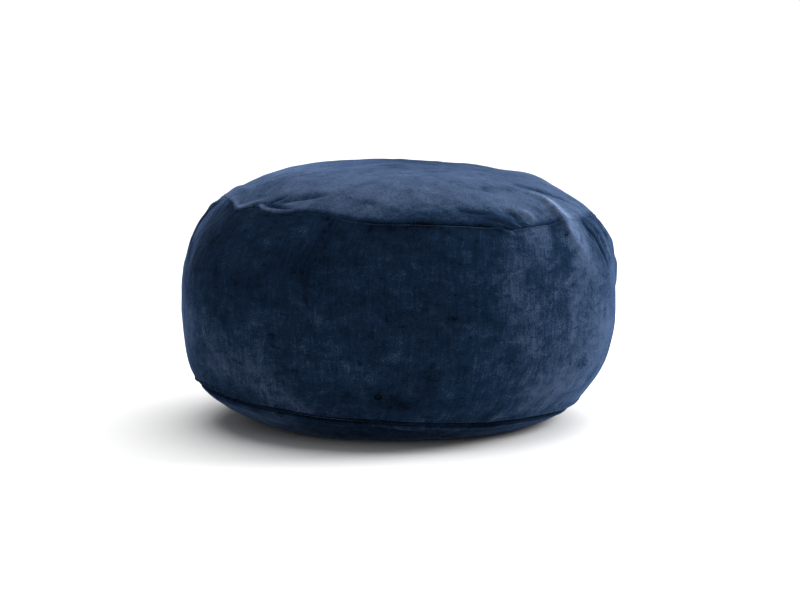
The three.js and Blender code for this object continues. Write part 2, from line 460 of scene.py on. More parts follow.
# %% [markdown]
# ## A finer cover
#
# One turn of subdivision rounds the wrinkles and gives the seams enough corners. It is applied at
# once, because the folds and seams below are pressed into the finer mesh. Each face first notes
# its panel in its material number, since subdividing keeps that.

# %% Subdivide
TOP, BAND, STRIP, BASE = range(4)
SEAM_RINGS = [1, 2, 2.1]
for face in rosette.polygons:
    middle_ring = np.mean([ring[corner] for corner in face.vertices])
    face.material_index = int(np.digitize(middle_ring, SEAM_RINGS))
finer = cover.modifiers.new("finer", "SUBSURF")
finer.levels = finer.render_levels = 1
subdivided = cover.evaluated_get(bpy.context.evaluated_depsgraph_get())
cloth = bpy.data.meshes.new_from_object(subdivided)
cover.modifiers.clear()
cover.data = cloth
ring, bearing, down = on_cloth(read(cloth, "flat_x"), read(cloth, "flat_y"))
shares = np.bincount([face.material_index for face in cloth.polygons])
print("faces of the top, band, strip and base:", shares)

# %% [markdown]
# ## Folds pressed in one by one
#
# The large folds are the pouf's character, and a simulation wouldn't put them where they are. So
# each is a row of a table. Its `path` runs over the cloth through a few points, each a bearing in
# degrees and a distance in millimetres down from the top seam. `height` is in millimetres, and so
# are the widths to its `left` and `right`: a path that runs up the cloth has these as the viewer
# has. A ridge with one narrow side casts the sharp shadow of a real fold, and a trough beside it
# shows the cloth that the ridge took. `rise` and `sink` are the shares of the path's length in
# which the fold comes up at its start and goes down at its end.

# %% Folds of the cloth
FOLDS = table(
    "height left right rise sink path",
    # the long ridge down the right shoulder, and the trough on its left
    (9, 6, 22, 0.45, 0.35,
     [(60, 96), (53, 47), (50, 23), (51.5, -5), (54, -42), (55.5, -64), (52, -110)]),
    (-2.4, 16, 7, 0.4, 0.4, [(54, 84), (48, 47), (45.5, 20), (47, -5), (49.5, -38), (51.5, -60)]),
    # narrow folds between it and the limb
    (-3, 3.5, 6, 0.4, 0.3, [(71, 122), (67, 74), (64.5, 40), (63, 12), (62, -8)]),
    (3.2, 4.5, 6, 0.4, 0.3, [(75.5, 128), (72, 74), (69.5, 26), (66.5, -12)]),
    (-2.4, 4, 8, 0.4, 0.4, [(84, 250), (84, 190), (83, 130), (79, 74), (74, 30)]),
    (-1.6, 3, 7, 0.4, 0.4, [(78, 270), (79, 200), (77, 130)]),
    # the swell of the right limb, the hollow over it, and the crown's swell above that
    (6, 18, 18, 0.35, 0.35, [(92, 176), (92, 130), (91, 92)]),
    (-6.5, 28, 28, 0.2, 0.2, [(86, 72), (88, 34), (94, 0), (106, -14), (118, -6)]),
    (6, 36, 36, 0.3, 0.3, [(74, -118), (96, -112), (120, -108)]),
    # a long crease over the crown, behind the right shoulder
    (-3, 7, 10, 0.3, 0.5, [(74, -18), (70, -58), (61, -100), (48, -138)]),
    # small slanting wrinkles under the right shoulder
    (-2.2, 4, 5, 0.4, 0.3, [(49, 78), (53.5, 62), (56.5, 44), (58, 30)]),
    (1.5, 5, 6, 0.4, 0.4, [(38, 98), (43, 86), (47.5, 70)]),
    (1.3, 5, 6, 0.4, 0.4, [(43, 132), (46.5, 122), (51, 104)]),
    # the pucker above the seam, right of the front, and the tuck under it
    (-6, 20, 4.5, 0.2, 0.4, [(34, 2), (36, -20), (35, -38), (30, -52)]),
    (2.4, 4, 10, 0.3, 0.4, [(38, 0), (40.5, -20), (39.5, -36), (34, -54)]),
    (3.6, 4.5, 4, 0.4, 0.15, [(23, -6), (27.5, 3), (31.5, 12)]),
    (-1.8, 6, 5, 0.4, 0.3, [(21, -20), (28, -16), (33, -6)]),
    # the left shoulder: the crown's edge lies over the seam as a folded lip, in two turns
    (3.6, 11, 2.2, 0.2, 0.2, [(-73, -7), (-67, -4), (-61, 1), (-56, -3), (-53, -10), (-50, -20)]),
    (4.4, 6, 2.6, 0.2, 0.06, [(-53, -6), (-50, -3), (-45, -1.5), (-40, -1), (-36, -2)]),
    (-3.4, 4, 8, 0.3, 0.4, [(-50, -17), (-47.5, -33), (-45, -52)]),
    (-3.2, 6, 4.5, 0.3, 0.4, [(-54, -12), (-49, -15), (-42, -13), (-36, -8)]),
    # the ridge down the left limb, the flatter band beside it, and the swells above and below
    (4, 12, 5, 0.45, 0.2, [(-75, 140), (-80, 100), (-84, 64), (-84.5, 36), (-82, 12), (-78, -2)]),
    (-1.4, 6, 20, 0.45, 0.3, [(-68, 120), (-73, 90), (-77, 60), (-77, 34), (-75, 12)]),
    (6.5, 32, 16, 0.35, 0.35, [(-62, -34), (-80, -28), (-100, -24)]),
    (4, 12, 16, 0.3, 0.3, [(-78, 22), (-88, 18), (-100, 14)]),
    (-4.5, 42, 42, 0.2, 0.2, [(-100, 70), (-90, 86), (-76, 98)]),
    # soft swells of the crown's front edge
    (-3.2, 10, 6, 0.3, 0.4, [(-46, -22), (-41, -36), (-35, -50), (-28, -62)]),
    (-2, 10, 7, 0.4, 0.4, [(-22, -44), (-14, -50), (-7, -46)]),
    (-3, 7, 8, 0.4, 0.4, [(13, -36), (19.5, -35), (30, -30)]),
    (-1.6, 10, 8, 0.4, 0.4, [(-2, -44), (5, -49), (12, -46)]),
    # a shallow dent below the button-sized one
    (-1.3, 6, 6, 0.3, 0.4, [(-1.5, 284), (0, 300), (3, 318), (8, 327)]),
    # the base stands out under the strip at the left
    (3.5, 9, 28, 0.3, 0.4, [(-80, 374), (-50, 376), (-20, 375)]),
    # a crease of the base, and a slanting one above the base seam
    (-1.6, 5, 5, 0.3, 0.3, [(-9, 372), (-2, 380), (6, 389), (14, 396)]),
    (2, 3.5, 10, 0.2, 0.5, [(29, 352), (33, 336), (33.5, 311)]),
    # the back: a few plain folds, like those of the front
    (5, 10, 15, 0.4, 0.4, [(141, 96), (146, 50), (144, 10), (147, -26), (151, -60)]),
    (-4, 16, 12, 0.4, 0.4, [(-165, 84), (-160, 40), (-162, 4), (-158, -40)]),
    (5, 11, 17, 0.4, 0.4, [(-126, 112), (-124, 60), (-121, 16), (-119, -40)]),
    (3.6, 18, 20, 0.4, 0.4, [(172, 250), (176, 216), (180, 180)]),
    (-2.6, 10, 9, 0.4, 0.4, [(182, 66), (178, 30), (180, -8)]),
)
# small dents with a rim that stands a little proud, in millimetres; the first is the clear one
DIMPLES = table(
    "bearing down depth radius rim",
    (-4, 299, 2.2, 5, 0.7),
    (8, 56, 0.8, 4, 0.2),
    (-176, 290, 2.0, 8, 0.4),
)


# %% Measure from a path, and lift the cloth
def rounded(path, turns=3):
    """A path with its corners cut over and over, so that it curves through the cloth."""
    path = np.array(path, dtype=float)
    for turn in range(turns):
        start, end = path[:-1], path[1:]
        cut = np.stack([0.75 * start + 0.25 * end, 0.25 * start + 0.75 * end], axis=1)
        path = np.concatenate([path[:1], cut.reshape(-1, 2), path[-1:]])
    return path


def from_line(points, line):
    """How far points lie from a line in space, to its left (less than nothing) or right, and how
    far along it, from 0 to 1."""
    reach = np.full(len(points), np.inf)
    aside, along = np.zeros(len(points)), np.zeros(len(points))
    steps = np.diff(line, axis=0)
    lengths = np.linalg.norm(steps, axis=1)
    travelled = np.concatenate([[0], np.cumsum(lengths)])
    middle = np.array([MIDDLE_X, MIDDLE_Y, HEIGHT / 2])
    for start, step, length, so_far in zip(line, steps, lengths, travelled):
        share = np.clip((points - start) @ step / length ** 2, 0, 1)
        gap = points - start - share[:, None] * step
        distance = np.linalg.norm(gap, axis=1)
        nearer = distance < reach
        side = np.where(gap @ np.cross(step, start - middle) < 0, -1, 1)
        reach = np.where(nearer, distance, reach)
        aside = np.where(nearer, side * distance, aside)
        along = np.where(nearer, (so_far + share * length) / travelled[-1], along)
    return aside, along


def eased(share):
    """A smooth rise from 0 to 1."""
    share = np.clip(share, 0, 1)
    return share * share * (3 - 2 * share)


OUT_OF_REACH = 3.2  # widths of a fold past which it lifts next to nothing


def fold_lift(points, fold):
    """How far a fold lifts each corner of the cloth, in metres."""
    path = rounded(fold["path"])
    line = wrapped(path[:, 0], path[:, 1] * MM)
    lift = np.zeros(len(points))
    reach = OUT_OF_REACH * max(fold["left"], fold["right"]) * MM
    near = np.all((points > line.min(axis=0) - reach) & (points < line.max(axis=0) + reach), axis=1)
    aside, along = from_line(points[near], line)
    width = np.where(aside < 0, fold["left"], fold["right"]) * MM
    faded = eased(along / fold["rise"]) * eased((1 - along) / fold["sink"])
    lift[near] = fold["height"] * MM * bump(aside, width) * faded
    return lift


def place_of(dimple):
    """The middle of a dimple on the smooth form, as an array of one point."""
    return wrapped(np.array([dimple["bearing"]]), np.array([dimple["down"] * MM]))


def dimple_lift(points, dimple):
    """How far a dimple lifts each corner: its rim and pit are measured in its own radius."""
    rim_at, rim_width, pit_width = 1.6, 0.5, 0.8
    distance = np.linalg.norm(points - place_of(dimple), axis=1) / (dimple["radius"] * MM)
    rim = dimple["rim"] * bump(distance - rim_at, rim_width)
    return (rim - dimple["depth"] * bump(distance, pit_width)) * MM


# %% Add the folds up
SHARP_WIDTH = 10  # a fold this narrow, in mm, gets its painted light and shade in full


def outward(mesh):
    """The way out of the cloth at each corner."""
    normals = np.empty(len(mesh.vertices) * 3)
    mesh.vertex_normals.foreach_get("vector", normals)
    return normals.reshape(-1, 3)


points = read(cloth, "co", 3)
lift, sharp = np.zeros(len(points)), np.zeros(len(points))
for fold in FOLDS:
    raised = fold_lift(points, fold)
    lift += raised
    # narrow folds count towards the painted light and shade of the folds below
    sharp += raised * min(1, SHARP_WIDTH / max(fold["left"], fold["right"])) ** 2
lift += sum(dimple_lift(points, dimple) for dimple in DIMPLES)
print("folds lift the cloth, mm:", round(lift.min() / MM, 1), "to", round(lift.max() / MM, 1))

# %% [markdown]
# ## The slow unevenness of the filling
#
# Loose foam never lies quite even, so the cloth over it rises and falls by up to 3 mm. A few waves
# in seeded directions, added up, give that without any pattern. They fade out where the stitches
# or the floor hold the cloth.

# %% Add the unevenness
RIPPLES = table(
    "height longest shortest count",
    (1.2 * MM, 260 * MM, 110 * MM, 6),
    (0.35 * MM, 80 * MM, 35 * MM, 8),
)
BEND = 0.9  # radians that a wave's crest wavers by
BEND_LENGTH = 2.3  # how slowly, in lengths of the wave
rng = np.random.default_rng(11)


def ripples(points, height, longest, shortest, count):
    """Sums waves of seeded directions and lengths. Most of the sum lies within that height."""
    total = np.zeros(len(points))
    for length in np.geomspace(longest, shortest, count):
        direction = rng.normal(size=3)
        direction /= np.linalg.norm(direction)
        phase = rng.uniform(0, 2 * np.pi)
        across = points @ rng.normal(size=3)
        bend = BEND * np.sin(across * 2 * np.pi / (BEND_LENGTH * length) + phase)
        total += np.sin(points @ direction * 2 * np.pi / length + phase + bend)
    return height * (total / np.sqrt(count))


uneven = sum(ripples(points, **row) for row in RIPPLES)
lift = lift + (1 - held(down)) * uneven
print("unevenness, mm:", round(uneven.min() / MM, 1), "to", round(uneven.max() / MM, 1))

# %% [markdown]
# ## Seams
#
# A plain seam is a groove a few millimetres wide: its stitches pull both panels in, and each
# panel rolls up beside it. The stitches don't pull evenly, so small puckers run out from the
# groove. At the base the two panels meet the strip instead, and roll down into its channel.

# %% Helpers for seams
def swell(distance, at, height, width):
    """A rounded swell of the cloth at a distance, or a groove, all in millimetres."""
    return height * MM * bump(distance - at * MM, width * MM)


def puckers(bearing, pitch, seed):
    """Small waves along a seam, about `pitch` degrees long. Their length and height swing slowly,
    13 and 29 times a round, so that no two are alike."""
    around = np.radians(bearing)
    shift = np.radians(seed)
    slow = 0.6 * np.sin(around * 13 + shift) + 0.4 * np.sin(around * 29 - shift)
    return np.sin(around * 360 / pitch + 4 * slow) * (0.55 + 0.45 * slow)


# %% The top seam
# share: how much of the groove a fold or the crown's fullness hides there
COVERED = table(
    "bearing spread share",
    (-64, 12, 0.9),
    (-26, 11, 1),
    (47, 5, 0.5),
    (64, 14, 0.85),
)
shown = np.prod([1 - row["share"] * bump_round(bearing, row["bearing"], row["spread"])
                 for row in COVERED], axis=0)
groove = swell(down, at=0, height=-1.3, width=1.8) * shown
above_lip = swell(down, at=-6, height=0.2, width=4) * shown
below_lip = swell(down, at=4.5, height=0.35, width=3.5) * shown
seam_puckers = swell(np.abs(down), at=7, height=0.45, width=6) * puckers(bearing, pitch=4.4, seed=40)
lift = lift + groove + above_lip + below_lip + seam_puckers
print("the top seam shows along", round(100 * shown[np.abs(down) < 1 * MM].mean()), "% of its length")

# %% The base seam, with the strip in it
STRIP_CROWNING = 2.2 * MM

past = np.maximum(np.abs(down - BASE_SEAM) - STRIP_WIDTH / 2, 0)
on_strip = past <= 0
rolled = swell(past, at=7, height=np.where(down < BASE_SEAM, 2.8, 1.2), width=6)
channel = swell(past, at=0, height=-5, width=2.6) * ~on_strip
base_puckers = swell(past, at=7, height=0.5, width=7) * puckers(bearing, pitch=5.2, seed=75) * ~on_strip
crowned = STRIP_CROWNING * (np.cos(np.pi * (down - BASE_SEAM) / STRIP_WIDTH) - 1) * on_strip
lift = lift + rolled + channel + base_puckers + crowned
print("the strip's channel, mm deep:", round(-channel.min() / MM, 1))

# %% Lift the cloth
SOLE_PLAIN = 60 * MM  # the middle of the sole is left as it is
SOLE_FADE = 70 * MM

lift = lift * eased((SOLE_MIDDLE - SOLE_PLAIN - down) / SOLE_FADE)
points = points + lift[:, None] * outward(cloth)
points[:, 2] = np.maximum(points[:, 2], 0)
write(cloth, "co", points)
print("cover with folds and seams, mm:", [round(side / MM, 1) for side in cover.dimensions])

# %% [markdown]
# ## Attributes for the finish
#
# Plush has a direction: its pile leans down the cloth, and it shows brush marks. Patterns that
# follow the cloth need to know where they are on it, so the unrolled place of each corner is kept
# as `unrolled`: round and down the band as on a drum, and flat over the crown.
# `pile` is how far the pile has been brushed towards the light, with painted
# light and shade added: the crown is painted lighter, a short table holds broad brush marks along
# with painted highlights and painted shade, narrow folds get a painted highlight on a ridge and
# painted shade in a trough, and the base seam and its strip are painted darker as shade.

# %% Brush marks, painted light and painted shade
# bearing and wide in degrees, down and tall in millimetres; a lower last column is darker
BRUSH_MARKS_AND_PAINTED_LIGHT = table(
    "bearing down wide tall pile",
    # painted shade over the crown's middle and back, painted light on its front half, and two small marks
    (0, -334, 720, 150, -0.22),
    (180, -240, 80, 110, -0.2),
    (0, -140, 60, 60, 0.12),
    (-43, -79, 8, 20, 0.09),
    (38, -110, 13, 40, -0.1),
    # painted shade on the crown's front edge and on the pucker in it, and a painted highlight on the
    # pucker's side
    (11, -14, 25, 30, -0.36),
    (-36, -4, 16, 12, -0.2),
    (30, -18, 6, 22, -0.2),
    (40.5, -26, 3, 12, 0.1),
    # a painted highlight along the lip of cloth at the left shoulder
    (-80, -3, 8, 11, 0.4),
    (-62, -5, 9, 5, 0.45),
    (-45, -2, 7, 3.5, 0.4),
    # the ridge at the right shoulder: painted shade on its left, a painted highlight along its crest
    (48, -14, 5, 24, -0.06),
    (55.5, -8, 5, 60, 0.42),
    (55.5, 58, 5, 45, 0.26),
    # the band's left, with painted shade just inside its left edge near the top
    (-67, 48, 11, 60, -0.28),
    (-52, 30, 10, 36, 0.07),
    (-28, 100, 14, 60, -0.12),
    (-56, 235, 9, 60, 0.1),
    (-68, 240, 15, 70, 0.12),
    (-40, 290, 24, 40, 0.14),
    (-27, 334, 12, 20, 0.2),
    # its front, from the top down; the first row is painted shade just under the seam
    (-10, 14, 50, 16, -0.1),
    (10, 17, 22, 14, 0.14),
    (-10, 60, 12, 40, -0.13),
    (-14, 130, 7, 26, -0.08),
    (-2, 190, 10, 50, 0.06),
    (3, 205, 12, 40, -0.06),
    (22, 262, 12, 50, -0.05),
    (-6, 306, 15, 36, -0.12),
    (3, 314, 5, 13, -0.12),
    # its right, mostly painted lighter, as the light falls there
    (34, 11, 12, 9, 0.14),
    (38, 20, 8, 20, 0.15),
    (40, 60, 8, 46, 0.14),
    (36, 150, 11, 90, 0.06),
    (52, 165, 8, 40, -0.07),
    (64, 200, 17, 120, 0.3),
    (37, 228, 8, 46, 0.2),
    (48, 310, 15, 44, 0.27),
    # the base
    (-44, 400, 20, 32, 0.16),
)

# %% Where each corner lies on the unrolled cloth
DRUM = 0.38  # the drum's radius, about the band's own
around = np.radians(bearing)
from_axis = DRUM * np.minimum(1, 1 + down / CROWN_LENGTH)
unrolled = np.stack([from_axis * np.sin(around), -from_axis * np.cos(around), np.maximum(down, 0)], axis=1)
cloth.attributes.new("unrolled", "FLOAT_VECTOR", "POINT").data.foreach_set("vector", unrolled.ravel())
print("unrolled, mm:", [round(reach / MM) for reach in np.ptp(unrolled, axis=0)])

# %% How far the pile is brushed towards the light, with painted light and shade added
# painted light: the crown is lighter, as the light falls on the top
CROWN_PAINTED_LIGHT = 0.37
CROWN_EDGE = 2 * MM  # the crown's painted light starts here, just under the seam
CROWN_FADE = 18 * MM
# a touch of painted light over the base panel
BASE_PAINTED_LIGHT = 0.02
# painted shade in the grooves of the base seam beside the strip, and on the strip under the band's edge
SEAM_PAINTED_SHADE = -0.45
STRIP_SHADE_SHARE = 0.6  # of the seam's painted shade
# painted light and shade of the folds: lighter on a ridge, darker in a trough
FOLD_PAINTED_LIGHT = 0.085  # for each millimetre that a sharp fold stands up
DARKEST_FOLD_SHADE = -0.24
LIGHTEST_FOLD_HIGHLIGHT = 0.45

pile = CROWN_PAINTED_LIGHT * eased((CROWN_EDGE - down) / CROWN_FADE) + BASE_PAINTED_LIGHT * (down > BASE_SEAM)
shade_beside_strip = bump(past - 1.5 * MM, 2 * MM) * ~on_strip
pile += SEAM_PAINTED_SHADE * (shade_beside_strip + STRIP_SHADE_SHARE * on_strip)
for mark in BRUSH_MARKS_AND_PAINTED_LIGHT:
    across = bump_round(bearing, mark["bearing"], mark["wide"])
    pile += mark["pile"] * across * bump(down - mark["down"] * MM, mark["tall"] * MM)
# painted highlights on the ridges of narrow folds, and painted shade in their troughs
pile += np.clip(FOLD_PAINTED_LIGHT * sharp / MM, DARKEST_FOLD_SHADE, LIGHTEST_FOLD_HIGHLIGHT)
# the attribute holds the brush marks together with the painted light and shade
write(cloth, "pile", pile)
print("brushed pile:", round(pile.min(), 2), "to", round(pile.max(), 2))

# %% [markdown]
# ## Cutting the panels apart
#
# A maker cuts four pieces: the round top, the long band, the strip and the round base. Each one
# becomes its own closed form here. At a seam the cloth turns in, a few millimetres deep, and
# behind that the rim is drawn together to a point inside the filling, where nobody sees it. A cut
# along a plane would be simpler, but the seams wander, so the cover's own edges are the cut. The
# rims stand a hair apart, so that the pieces never share a face.

# %% Helpers for a panel's rims
def open_rims(bm):
    """The closed loops of boundary edges, lowest first."""
    waiting = {edge for edge in bm.edges if edge.is_boundary}
    rims = []
    while waiting:
        rim, at_hand = [], [waiting.pop()]
        while at_hand:
            edge = at_hand.pop()
            rim.append(edge)
            beside = {other for vert in edge.verts for other in vert.link_edges} & waiting
            waiting -= beside
            at_hand += beside
        rims.append(rim)
    return sorted(rims, key=lambda rim: sum(edge.verts[0].co.z for edge in rim) / len(rim))


def draw_back(rim, gap):
    """Moves a rim a little way back into its own panel."""
    for vert in {vert for edge in rim for vert in edge.verts}:
        inner = next(edge.other_vert(vert) for edge in vert.link_edges if not edge.is_boundary)
        vert.co += (inner.co - vert.co).normalized() * gap


def turn_in(bm, rim, depth):
    """Extrudes a rim straight into the filling, and returns the new rim."""
    bm.normal_update()
    inwards = {vert: -vert.normal.copy() for edge in rim for vert in edge.verts}
    made = bmesh.ops.extrude_edge_only(bm, edges=rim)["geom"]
    for vert in filter(is_vert, made):
        outer = next(edge.other_vert(vert) for edge in vert.link_edges
                     if edge.other_vert(vert) in inwards)
        vert.co += inwards[outer] * depth
    return outer_rim(made)


def draw_together(bm, rim, height):
    """Closes a rim with a shallow cone whose tip lies at that height, in the middle."""
    made = bmesh.ops.extrude_edge_only(bm, edges=rim)["geom"]
    tip = (MIDDLE_X, MIDDLE_Y, height)
    bmesh.ops.pointmerge(bm, verts=list(filter(is_vert, made)), merge_co=tip)


# %% Helpers for taking a panel out, and for finishing it
def taken_from_cover(number):
    """A bmesh of one panel of the cover."""
    bm = bmesh.new()
    bm.from_mesh(cloth)
    others = [face for face in bm.faces if face.material_index != number]
    bmesh.ops.delete(bm, geom=others, context="FACES")
    for face in bm.faces:
        face.material_index = 0
        face.smooth = True
    return bm


def place_in_order(face, count):
    """A number from a face's corners, so that the faces sort the same way each run."""
    first, second, third = sorted(vert.index for vert in face.verts)[:3]
    return (first * count + second) * count + third


def finished(bm, name):
    """Writes a closed bmesh to a new object, and says whether it is sound."""
    bmesh.ops.recalc_face_normals(bm, faces=bm.faces)
    bm.verts.index_update()
    bm.faces.sort(key=lambda face: place_in_order(face, len(bm.verts)))
    sound = all(edge.is_manifold for edge in bm.edges) and bm.calc_volume(signed=True) > 0
    mesh = bpy.data.meshes.new(name)
    bm.to_mesh(mesh)
    triangles = sum(len(face.verts) - 2 for face in bm.faces)
    print(name, "closed and facing out:", sound, "triangles:", triangles,
          "litres:", round(bm.calc_volume() * 1000, 1))
    bm.free()
    return placed(name, mesh)


# %% Close the three filled panels
HEM = 7 * MM
RIM_GAP = 0.2 * MM
SEAM_Z = RINGS["top_seam"]["height"] * HEIGHT
BASE_Z = RINGS["base_seam"]["height"] * HEIGHT
SOLE_Z = 0
TOP_SINK = 22 * MM
BAND_SINK = 24 * MM
BASE_SINK = 14 * MM
# tips: the heights at which each panel's rims are drawn together, lowest rim first. Each lies a
# little way into its own panel's filling, and the sole's hole is closed flat.
PANELS = {
    "plush_top": dict(number=TOP, node="top_panel", tips=[SEAM_Z + TOP_SINK]),
    "plush_band": dict(number=BAND, node="side_band", tips=[BASE_Z + BAND_SINK, SEAM_Z - TOP_SINK]),
    "plush_base": dict(number=BASE, node="base_panel", tips=[SOLE_Z, BASE_Z - BASE_SINK]),
}
pieces = {}
for name, row in PANELS.items():
    bm = taken_from_cover(row["number"])
    for rim, height in zip(open_rims(bm), row["tips"]):
        if height > SOLE_Z:
            draw_back(rim, RIM_GAP)
            rim = turn_in(bm, rim, HEM)
        draw_together(bm, rim, height)
    pieces[name] = finished(bm, name)

# %% [markdown]
# ## The strip
#
# A narrow strip of the same plush is sewn in where the base meets the band, with its long edges
# folded in. It was cut 14 mm wide and shows 9 mm, a little crowned. It could be swept along a
# circle, but the seam wanders and puckers, so its face comes from the cover's own rings. Both rims
# turn in, and a bridge joins them behind.

# %% Make the strip
STRIP_HEM = 4.5 * MM
STRIP_GAP = 0.3 * MM

bm = taken_from_cover(STRIP)
rims = open_rims(bm)
for rim in rims:
    draw_back(rim, STRIP_GAP)
turned = [edge for rim in rims for edge in turn_in(bm, rim, STRIP_HEM)]
bmesh.ops.bridge_loops(bm, edges=turned)
pieces["plush_strip"] = finished(bm, "plush_strip")
bpy.data.objects.remove(cover)

# %% [markdown]
# ## Navy plush
#
# Plush is a cut pile: thousands of short hairs that stand off a knitted ground. Seen along the
# hairs it is nearly black, because light sinks between them. At a slant their sides catch the
# light, so every edge and fold glows. Real hairs would be millions of strands, so the shader's
# sheen is that slanting light, and the colour below it changes where hands have brushed the pile:
# broad clouds, flecks, smudges, rubs, rows of the knit and a fine grain, each at its real size.
# Light and shade are also painted into that colour: a lighter crown, highlights on crests and lips,
# and shade in grooves, seams and the dent.

# %% Colours
def linear(hexcode):
    """A colour as the shader wants it, from its sRGB hex code."""
    parts = [int(hexcode[at:at + 2], 16) / 255 for at in (1, 3, 5)]
    return tuple(part / 12.92 if part <= 0.04045 else ((part + 0.055) / 1.055) ** 2.4
                 for part in parts) + (1,)


DEEP_PILE = linear("#070d16")       # looking down into the hairs
LEANING_PILE = linear("#15273d")    # hairs leaning, as most of them do
BRUSHED_PILE_AND_PAINTED_LIGHT = linear("#4c5c78")    # hairs laid flat, showing their sides, and the painted light on the crown
PAINTED_HIGHLIGHT = linear("#7888a4")    # the painted highlight on crests and lips
SLANT_LIGHT = linear("#86a4da")     # the light that the hairs' sides catch
LEANING_STOP = 0.34                 # where these two lie between deep at 0 and the painted highlight at 1
BRUSHED_STOP = 0.75
BASE_LEAN = 0.39                    # how far the pile leans where nothing has brushed it
CONTRAST = 0.75                     # how strongly a lean shows in the colour

# %% Patterns of the pile
# size: of its features, in mm. detail, rough, bent: of its noise. drawn: its scale round and down
# the unrolled cloth, if it follows that. weight: how far it lays the pile over.
PATTERNS = table(
    "name size detail rough bent drawn weight",
    # where the pile leans another way
    ("clouds", 85, 3, 0.55, 0.5, None, 0.6),
    # finger and brush marks
    ("flecks", 23, 6, 0.7, 1.0, None, 0.55),
    # wider than they are high, where the cloth was stroked sideways
    ("smudges", 17, 4, 0.65, 0.4, (0.4, 0.4, 1), 0.42),
    # rows of the knitted ground, drawn out down the cloth
    ("streaks", 4.5, 3, 0.6, 0, (1, 1, 0.14), 0.35),
    # tufts of the pile
    ("grain", 1.6, 2, 0.6, 0, None, 0.8),
    # small marks where the pile was pushed apart; they only darken it, and have no weight
    ("rubs", 9, 3, 0.6, 0.8, (0.45, 0.45, 1), None),
)
# the values of their noise between which rubs come in, and how much they darken the pile
RUB_FROM, RUB_FULL, RUB_PILE = 0.57, 0.76, -0.22
# how the patterns stand up from the surface, the finest first
RELIEF = table(
    "pattern strength height",
    ("grain", 0.35, 0.8 * MM),
    ("streaks", 0.3, 1.0 * MM),
    ("flecks", 0.5, 2.5 * MM),
)
# the clear dent has a dark ring of painted shade round its pit, which fades between two distances from the
# ring's crest
DENT = tuple(place_of(DIMPLES[0])[0])
DENT_SHADE_RING = dict(radius=4.2 * MM, near=0.5 * MM, far=3.2 * MM, pile=-0.45)


# %% Helpers for nodes
def add(tree, kind, settings=None, links=None):
    """Adds a node. `settings` are its own settings or its input values, `links` its linked inputs."""
    node = tree.nodes.new(kind)
    for name, value in (settings or {}).items():
        if isinstance(name, str) and hasattr(node, name):
            setattr(node, name, value)
        else:
            node.inputs[name].default_value = value
    for name, socket in (links or {}).items():
        tree.links.new(socket, node.inputs[name])
    return node


def reckon(tree, operation, *values):
    """A sum of sockets and plain numbers, in the order that the operation takes them."""
    settings, links = {"operation": operation}, {}
    for index, value in enumerate(values):
        kept = links if isinstance(value, bpy.types.NodeSocket) else settings
        kept[index] = value
    return add(tree, "ShaderNodeMath", settings, links).outputs[0]


def smooth_step(tree, value, low, high, at_low, at_high):
    """Turns a value smoothly from one number to another between low and high."""
    settings = {"interpolation_type": "SMOOTHSTEP", "From Min": low, "From Max": high,
                "To Min": at_low, "To Max": at_high}
    return add(tree, "ShaderNodeMapRange", settings, {"Value": value}).outputs[0]


def pattern(tree, row, place, along):
    """A noise of features of one size, either in space or drawn out along the unrolled cloth."""
    if row["drawn"]:
        place = add(tree, "ShaderNodeMapping", {"Scale": row["drawn"]}, {"Vector": along}).outputs[0]
    settings = {"Scale": 1 / (row["size"] * MM), "Detail": row["detail"],
                "Roughness": row["rough"], "Distortion": row["bent"]}
    return add(tree, "ShaderNodeTexNoise", settings, {"Vector": place}).outputs["Fac"]


# %% The plush
def lean_with_painted_light(tree, place, fields):
    """How far the hairs lean, with painted light and shade, from deep at 0 to the painted highlight at 1.
    """
    # the cloth's attribute: brush marks with painted light and shade
    brushed_and_painted_light = add(tree, "ShaderNodeAttribute", {"attribute_name": "pile"}).outputs["Fac"]
    rubs = smooth_step(tree, fields["rubs"], RUB_FROM, RUB_FULL, 0, RUB_PILE)
    lean_and_painted_light = reckon(tree, "ADD", reckon(tree, "ADD", brushed_and_painted_light, rubs), BASE_LEAN)
    for row in PATTERNS:
        if row["weight"]:
            centred = reckon(tree, "SUBTRACT", fields[row["name"]], 0.5)
            lean_and_painted_light = reckon(tree, "MULTIPLY_ADD", centred, row["weight"], lean_and_painted_light)
    # the ring of painted shade in the clear dent
    from_dent = add(tree, "ShaderNodeVectorMath", {"operation": "DISTANCE", 1: DENT}, {0: place})
    off_ring = reckon(tree, "SUBTRACT", from_dent.outputs["Value"], DENT_SHADE_RING["radius"])
    off_ring = reckon(tree, "ABSOLUTE", off_ring)
    ring_shade = smooth_step(tree, off_ring, DENT_SHADE_RING["near"], DENT_SHADE_RING["far"], DENT_SHADE_RING["pile"], 0)
    return reckon(tree, "MULTIPLY", reckon(tree, "ADD", lean_and_painted_light, ring_shade), CONTRAST)


